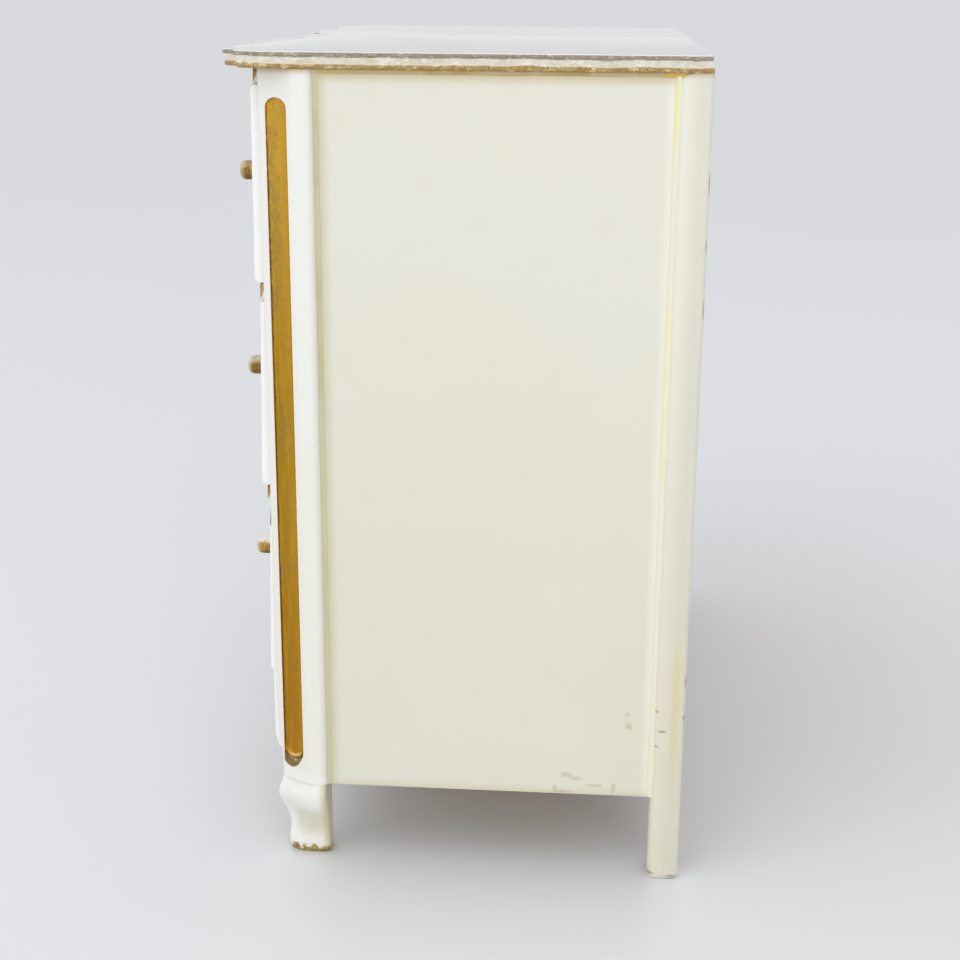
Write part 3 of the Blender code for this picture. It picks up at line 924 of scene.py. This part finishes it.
# Down the outside of the leg: height, distances from the foot's own box at the outer side and at
# the front, and the share of the pilaster's canted corner that is left.
LEG_PROFILE = (
    (10.20, 0.16, 0.76, 1.00),
    (10.00, 0.10, 0.60, 1.00),
    (9.20, 0.00, 0.40, 1.00),
    (8.40, 0.00, 0.10, 1.00),
    (7.70, 0.15, 0.00, 0.98),
    (7.00, 0.45, 0.10, 0.92),
    (6.10, 0.95, 0.40, 0.84),
    (5.20, 1.40, 0.75, 0.74),
    (4.40, 1.75, 1.00, 0.64),
    (3.60, 2.00, 1.17, 0.54),
    (2.80, 2.15, 1.15, 0.46),
    (2.00, 2.25, 1.03, 0.40),
    (1.20, 2.35, 1.00, 0.35),
    (0.40, 2.60, 1.05, 0.32),
    (0.00, 2.90, 1.20, 0.30),
)
# Radius of the leg's rear outer corner: height and radius.
LEG_REAR_RADIUS = ((0.0, 0.6), (2.0, 0.7), (4.0, 0.95), (6.0, 0.9), (7.5, 0.6), (8.4, 0.45), (10.2, 0.4))


def curve_through(rows, value):
    """The columns after the first, read from a smooth curve where the first column has this value."""
    rows = sorted(rows)
    heights = [row[0] for row in rows]
    value = min(max(value, heights[0]), heights[-1])
    k = max(i for i, h in enumerate(heights) if h <= value or i == 0)
    k = min(k, len(rows) - 2)
    t = (value - heights[k]) / (heights[k + 1] - heights[k])
    result = []
    for column in range(1, len(rows[0])):
        p = [rows[min(max(k + d, 0), len(rows) - 1)][column] for d in (-1, 0, 1, 2)]
        square = 2 * p[0] - 5 * p[1] + 4 * p[2] - p[3]
        cube = 3 * p[1] - p[0] - 3 * p[2] + p[3]
        result.append(0.5 * (2 * p[1] + (p[2] - p[0]) * t + square * t * t + cube * t**3))
    return result


def leg_corners(z, low, high, inner, outer):
    from_outer, from_front, cant = curve_through(LEG_PROFILE, z)
    side_x, front_y = outer - from_outer, low.y + from_front
    return [
        (inner, high.y),
        (inner, front_y),
        (side_x - cant * CANT_WIDTH, front_y),
        (side_x, front_y + cant * CANT_DEPTH),
        (side_x, high.y),
    ]


def make_foot(side, word, material):
    low, high = box_mm(f"front_foot_{word}")
    inner, outer = near_and_far(low, high)
    heights = spread(0.0, 1.4, 0.1) + spread(1.4, 10.2, 0.2) + [10.2]
    rings = []
    for z in heights:
        corners = leg_corners(z, low, high, inner, outer)
        middle = sum((Vector(corner) for corner in corners), Vector((0.0, 0.0))) / len(corners)
        (rear_radius,) = curve_through(LEG_REAR_RADIUS, z)
        ring = []
        for x, y in rounded(corners, (0.3, 0.5, 0.5, 0.9, rear_radius), 7):
            chip = max(0.0, wobble((side * x, y, z), 1.5, 4) - 0.05) * 0.35 * smooth((1.0 - z) / 0.8)
            dent = max(0.0, wobble((side * x, y, z), 0.5, 8)) * 0.04
            towards = (middle - Vector((x, y))).normalized() * (chip + dent)
            ring.append((side * (x + towards.x), y + towards.y, z))
        rings.append(ring)
    points, faces = loft(rings)
    replaced = [f"front_foot_{word}"]
    piece(f"cabriole_foot_{word}", points, faces, material, "case", replaced, 50)


def foot_paint(name):
    """The white paint with painted shade on the rear face, in the hollow and at the join under the
    pilaster, and a chipped gilt rim round the sole.
    """
    f = Finish(name, roughness=0.28)
    broad = f.noise(0.3, detail=3)
    cloud = f.noise(0.9, detail=4, shift=7)
    grain = f.noise(2.4, detail=4, roughness=0.7, shift=41)
    fine = f.noise(7.0, detail=3, shift=5)
    f.paint = f.mix(f.ramp(broad, 0.35, 0.65), FOOT_LIGHT, FOOT_DARK)
    f.coat((230, 224, 204), f.ramp(cloud, 0.5, 0.75), 0.3)
    # Painted shade in the hollow under the knee, where the face turns down.
    hollow = f.times(f.ramp(f.z, 7.2, 5.4), f.ramp(f.z, 2.0, 3.6), f.ramp(f.y, -18.9, -17.8))
    f.coat((216, 212, 190), hollow, 0.75)
    # Painted shade on the rear face.
    f.coat((218, 206, 170), f.ramp(f.y, -15.6, -14.8, 0, 0.85))
    # Painted shade at the join under the pilaster.
    f.coat((206, 200, 176), f.ramp(f.z, 9.8, 10.1, 0, 0.15))
    gold = f.mix(f.ramp(grain, 0.45, 0.55), (196, 168, 92), (112, 98, 48))
    rim = f.add(f.z, f.sway(cloud, 2.6), f.sway(grain, 2.0))
    f.coat(gold, f.ramp(rim, 0.95, 0.7))
    f.let_light_in()
    edge = f.times(f.ramp(rim, 0.95, 0.7), 0.8)
    f.bump(f.add(f.times(broad, 1.2), f.times(fine, 0.15), edge), 0.35, 0.06)
    return f.finished()


# --- Posts, rails and drawer fronts ---


def make_post(side, word, material):
    low, high = box_mm(f"rear_post_{word}")
    inner, outer = near_and_far(low, high)
    rings = []
    top = high.z + UNDER_TOP
    shoulder = top - POST_SHOULDER
    heights = [0.0, 0.1, 0.3] + spread(0.8, shoulder, 1.2) + spread(shoulder, top, 0.1) + [top]
    for z in heights:
        inset = {0.0: 0.22, 0.1: 0.08}.get(z, 0.0)
        up = max(z - shoulder, 0.0)
        front_y = low.y + POST_SHOULDER - math.sqrt(max(POST_SHOULDER**2 - up**2, 0.0))
        corners = [(inner, high.y), (inner, front_y), (outer, front_y), (outer, high.y)]
        ring = []
        for x, y in rounded(corners, (0.4, 0.35, 0.85, 0.5), 7):
            lean = max(0.0, wobble((side * x, y, z), 0.12, 6)) * 0.12
            middle = Vector(((inner + outer) / 2 - x, (low.y + high.y) / 2 - y))
            towards = middle.normalized() * (inset + lean)
            ring.append((side * (x + towards.x), y + towards.y, z))
        rings.append(ring)
    points, faces = loft(rings)
    replaced = [f"rear_post_{word}"]
    piece(f"painted_post_{word}", points, faces, material, "case", replaced, 50)


def edge_steps(length, radius):
    """Distances from one edge to the other, close together where the edge is rounded."""
    near = [radius * (1 - math.cos(math.pi / 2 * k / 6)) for k in range(6)] + [radius]
    middle = spread(radius, length - radius, 1.1)[1:]
    return near + middle + [length - d for d in reversed(near)]


def face_setback(distance, radius):
    if distance >= radius:
        return 0.0
    return radius - math.sqrt(max(radius * radius - (radius - distance) ** 2, 0.0))


def make_front(name, node, material, body, radii, lean, seed):
    """A drawer front or rail that follows the blocks, with rounded top, bottom and end edges."""
    top_radius, bottom_radius, end_radius = radii
    low, high = box_mm(node)
    half = high.x
    height = high.z - low.z
    end_y = low.y + BLOCK_SWELL + lean / 2
    width_steps = edge_steps(2 * half, end_radius)
    height_steps = edge_steps(height, min(top_radius, bottom_radius, height * 0.45))
    front, back = [], []
    for up in height_steps:
        z = low.z + up
        front_row, back_row = [], []
        for across in width_steps:
            x = across - half
            setback = max(
                face_setback(min(across, 2 * half - across), end_radius),
                face_setback(up, bottom_radius),
                face_setback(height - up, top_radius),
            )
            uneven = max(0.0, wobble((x, seed, z), 0.16, seed)) * 0.10
            slope = lean * (z - (low.z + high.z) / 2) / height
            y = min(end_y - block_relief(x) + slope + setback + uneven, high.y - 0.2)
            front_row.append((x, y, z))
            back_row.append((x, high.y, z))
        front.append(front_row)
        back.append(back_row)
    points, faces = slab_grid(front, back)
    piece(name, points, faces, material, body, [node], 50)


# --- Knobs ---

# From the drawer's face outward: radius and distance, as shares of the knob's radius and length.
KNOB_TURNING = (
    (0.62, 0.00),
    (0.60, 0.10),
    (0.56, 0.22),
    (0.62, 0.28),
    (0.86, 0.31),
    (0.97, 0.35),
    (1.00, 0.42),
    (1.00, 0.62),
    (0.985, 0.74),
    (0.94, 0.83),
    (0.84, 0.91),
    (0.66, 0.96),
    (0.42, 0.99),
    (0.18, 1.00),
)


def make_knob(level, word, material):
    low, high = box_mm(f"knob_{level}_{word}")
    centre = (low + high) / 2
    radius = (high.x - low.x) / 2
    length = high.y - low.y
    segments = 40
    rings = []
    for share, out in KNOB_TURNING:
        ring = []
        for k in range(segments):
            angle = math.tau * k / segments
            x, z = math.cos(angle) * radius * share, math.sin(angle) * radius * share
            dent = 1 - 0.035 * max(0.0, wobble((centre.x + x, out * length, centre.z + z), 1.1, 4))
            ring.append((centre.x + x * dent, high.y - out * length, centre.z + z * dent))
        rings.append(ring)
    points, faces = loft(rings)
    name, node = f"turned_knob_{level}_{word}", f"knob_{level}_{word}"
    piece(name, points, faces, material, f"drawer_{level}", [node], 45)


# --- Glue in the seams ---


def make_glue_bead(name, start, end, outward, material, seed, width, proud):
    """A thin uneven bead of glue along a gap, from start to end, that bulges outward."""
    start, end, outward = Vector(start), Vector(end), Vector(outward)
    along = (end - start).normalized()
    across = along.cross(outward)
    rings = []
    for distance in spread(0.0, (end - start).length, 0.8) + [(end - start).length]:
        middle = start + along * distance
        swell = 0.5 + 0.5 * wobble(middle, 0.22, seed)
        half = width * (0.75 + 0.5 * swell)
        rise = proud * (0.6 + 0.8 * swell)
        ring = []
        for k in range(16):
            angle = math.tau * k / 16
            sideways = across * (half * math.sin(angle))
            ring.append(tuple(middle + outward * (rise * math.cos(angle)) + sideways))
        rings.append(ring)
    points, faces = loft(rings)
    piece(name, points, faces, material, "case", sharp=80)


# --- Stage ---


def make_floor():
    bpy.ops.mesh.primitive_plane_add(size=40.0, location=(0.0, 0.0, -0.00002))
    floor = bpy.context.object
    floor.name = "floor"
    f = Finish("pale_floor", roughness=0.35)
    f.paint = f.mix(f.noise(0.01, detail=2), (227, 229, 231), (225, 227, 230))
    floor.data.materials.append(f.finished())


def make_light(name, place, target, size, power):
    data = bpy.data.lights.new(name, "AREA")
    data.shape = "RECTANGLE"
    data.size, data.size_y = size
    data.energy = power
    light = bpy.data.objects.new(name, data)
    bpy.context.scene.collection.objects.link(light)
    light.location = place
    direction = Vector(target) - Vector(place)
    light.rotation_euler = direction.to_track_quat("-Z", "Y").to_euler()


def make_lights():
    world = bpy.data.worlds.new("studio")
    world.use_nodes = True
    background = world.node_tree.nodes["Background"]
    background.inputs["Color"].default_value = (0.975, 0.985, 1.0, 1.0)
    background.inputs["Strength"].default_value = 0.84
    bpy.context.scene.world = world
    make_light("key", (0.35, -0.30, 0.55), (0.04, 0.0, 0.05), (0.5, 0.5), 1.0)
    make_light("side_fill", (0.75, 0.25, 0.25), (0.04, 0.0, 0.05), (0.5, 0.4), 1.1)


def make_camera():
    forward = Vector((-math.cos(CAMERA_PAN), -math.sin(CAMERA_PAN), 0.0))
    right = Vector((forward.y, -forward.x, 0.0))
    up = Vector((0.0, 0.0, 1.0))
    cosine, sine = math.cos(CAMERA_TILT), math.sin(CAMERA_TILT)
    forward, up = cosine * forward - sine * up, sine * forward + cosine * up
    cosine, sine = math.cos(CAMERA_ROLL), math.sin(CAMERA_ROLL)
    right, up = cosine * right + sine * up, cosine * up - sine * right
    data = bpy.data.cameras.new("camera")
    data.lens = CAMERA_LENS
    data.sensor_width = SENSOR_WIDTH
    data.clip_start = 0.01
    camera = bpy.data.objects.new("camera", data)
    bpy.context.scene.collection.objects.link(camera)
    turn = Matrix((right, up, -forward)).transposed().to_4x4()
    camera.matrix_world = Matrix.Translation(Vector(CAMERA_PLACE) * MM) @ turn
    bpy.context.scene.camera = camera
    bpy.context.scene.view_settings.view_transform = "Standard"


def clear_startup():
    for name in ("Cube", "Light", "Camera"):
        if name in bpy.data.objects:
            bpy.data.objects.remove(bpy.data.objects[name])


def repaint(node, material):
    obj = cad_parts[node]
    obj.data.materials.clear()
    obj.data.materials.append(material)


clear_startup()
make_camera()
make_lights()
make_floor()
make_top()

PILASTER_WHITE = white_paint("pilaster_paint", painted_shade_y=(-15.3, -14.2), foot_top=10.3)
DRAWER_WHITE = white_paint("drawer_paint", DRAWER_LIGHT, DRAWER_DARK)
LOWEST_DRAWER_WHITE = white_paint(
    "lowest_drawer_paint", DRAWER_LIGHT, DRAWER_DARK, strokes=DRAWER_STROKES
)
POST_WHITE = white_paint(
    "post_paint", AGED_LIGHT, AGED_DARK, POST_STAINS, POST_CHIPS, painted_shade_y=(22.9, 25.2)
)
FOOT_WHITE = foot_paint("foot_paint")
origin, rearward, _ = canted_frame(1, "right")
STRIP_GILT = strip_gilt("strip_gilt", origin.dot(rearward))
# The front seam's bead: glue darkened with painted shade of the groove it fills.
SEAM_GLUE_AND_SHADE = glue("seam_glue_and_shade", (202, 194, 160), (195, 186, 147))
YELLOW_GLUE = glue("yellow_glue", (234, 232, 212), (238, 232, 198), REAR_SEAM_YELLOW)
# The bead under the top: yellowed glue darkened with painted shade under the top.
SLAB_GLUE_AND_SHADE = glue("slab_glue_and_shade", (196, 176, 126), (184, 158, 98), SLAB_YELLOW)
for side, word in SIDES:
    make_pilaster(side, word, PILASTER_WHITE, STRIP_GILT)
    make_inlay(side, word, STRIP_GILT)
    make_foot(side, word, FOOT_WHITE)
    make_post(side, word, POST_WHITE)
    panel_low, panel_high = box_mm(f"side_panel_{word}")
    ivory = ivory_panel(f"ivory_panel_{word}", (panel_low.y, panel_high.y), side)
    repaint(f"side_panel_{word}", ivory)
    face_x = side * near_and_far(panel_low, panel_high)[1]
    heights = (panel_low.z + 0.1, panel_high.z + 0.22)
    ends = [(face_x - side * 0.06, panel_low.y - 0.15, z) for z in heights]
    make_glue_bead(f"glue_front_{word}", *ends, (side, 0, 0), SEAM_GLUE_AND_SHADE, 3.0 + side, 0.32, 0.12)
    ends = [(face_x - side * 0.04, panel_high.y + 0.25, z) for z in heights]
    make_glue_bead(f"glue_rear_{word}", *ends, (side, 0, 0), YELLOW_GLUE, 3.0 + side, 0.36, 0.2)
    depths = (panel_low.y - 0.1, panel_high.y + 1.2)
    ends = [(face_x - side * 0.1, y, panel_high.z + 0.1) for y in depths]
    make_glue_bead(f"glue_top_{word}", *ends, (side, 0, 0), SLAB_GLUE_AND_SHADE, 7.0 + side, 0.34, 0.24)

for name, node in (
    ("gilded_top_rail", "top_rail"),
    ("gilded_upper_divider", "upper_divider_rail"),
    ("gilded_lower_divider", "lower_divider_rail"),
):
    gilt = worn_gilt(f"{name}_paint", 0.38, box_mm(node))
    make_front(name, node, gilt, "case", RAIL_RADII, 0.0, 2.0)
make_front("painted_base_rail", "base_rail", DRAWER_WHITE, "case", BASE_RADII, 0.0, 4.0)
for level, lean in DRAWER_LEAN.items():
    body = f"drawer_{level}"
    paint = LOWEST_DRAWER_WHITE if level == "bottom" else DRAWER_WHITE
    knob_gilt = worn_gilt(f"knob_gilt_{level}", KNOB_WEAR[level], knob=box_mm(f"knob_{level}_right"))
    front, node = f"painted_front_{level}", f"drawer_{level}_front"
    make_front(front, node, paint, body, DRAWER_RADII, lean, 5.0)
    for side, word in SIDES:
        make_knob(level, word, knob_gilt)

WALL_WOOD = bare_wood("drawer_wood", (226, 202, 160), (196, 160, 112), "y")
BOTTOM_WOOD = bare_wood("drawer_bottom_wood", (214, 186, 140), (182, 146, 100), "x")
CASE_WOOD = bare_wood("case_wood", (206, 176, 130), (172, 136, 92), "x")
for level in DRAWER_LEAN:
    repaint(f"drawer_{level}_side_left", WALL_WOOD)
    repaint(f"drawer_{level}_side_right", WALL_WOOD)
    repaint(f"drawer_{level}_back", BOTTOM_WOOD)
    repaint(f"drawer_{level}_bottom", BOTTOM_WOOD)
for node in ("back_panel", "upper_dust_board", "lower_dust_board", "bottom_board"):
    repaint(node, CASE_WOOD)
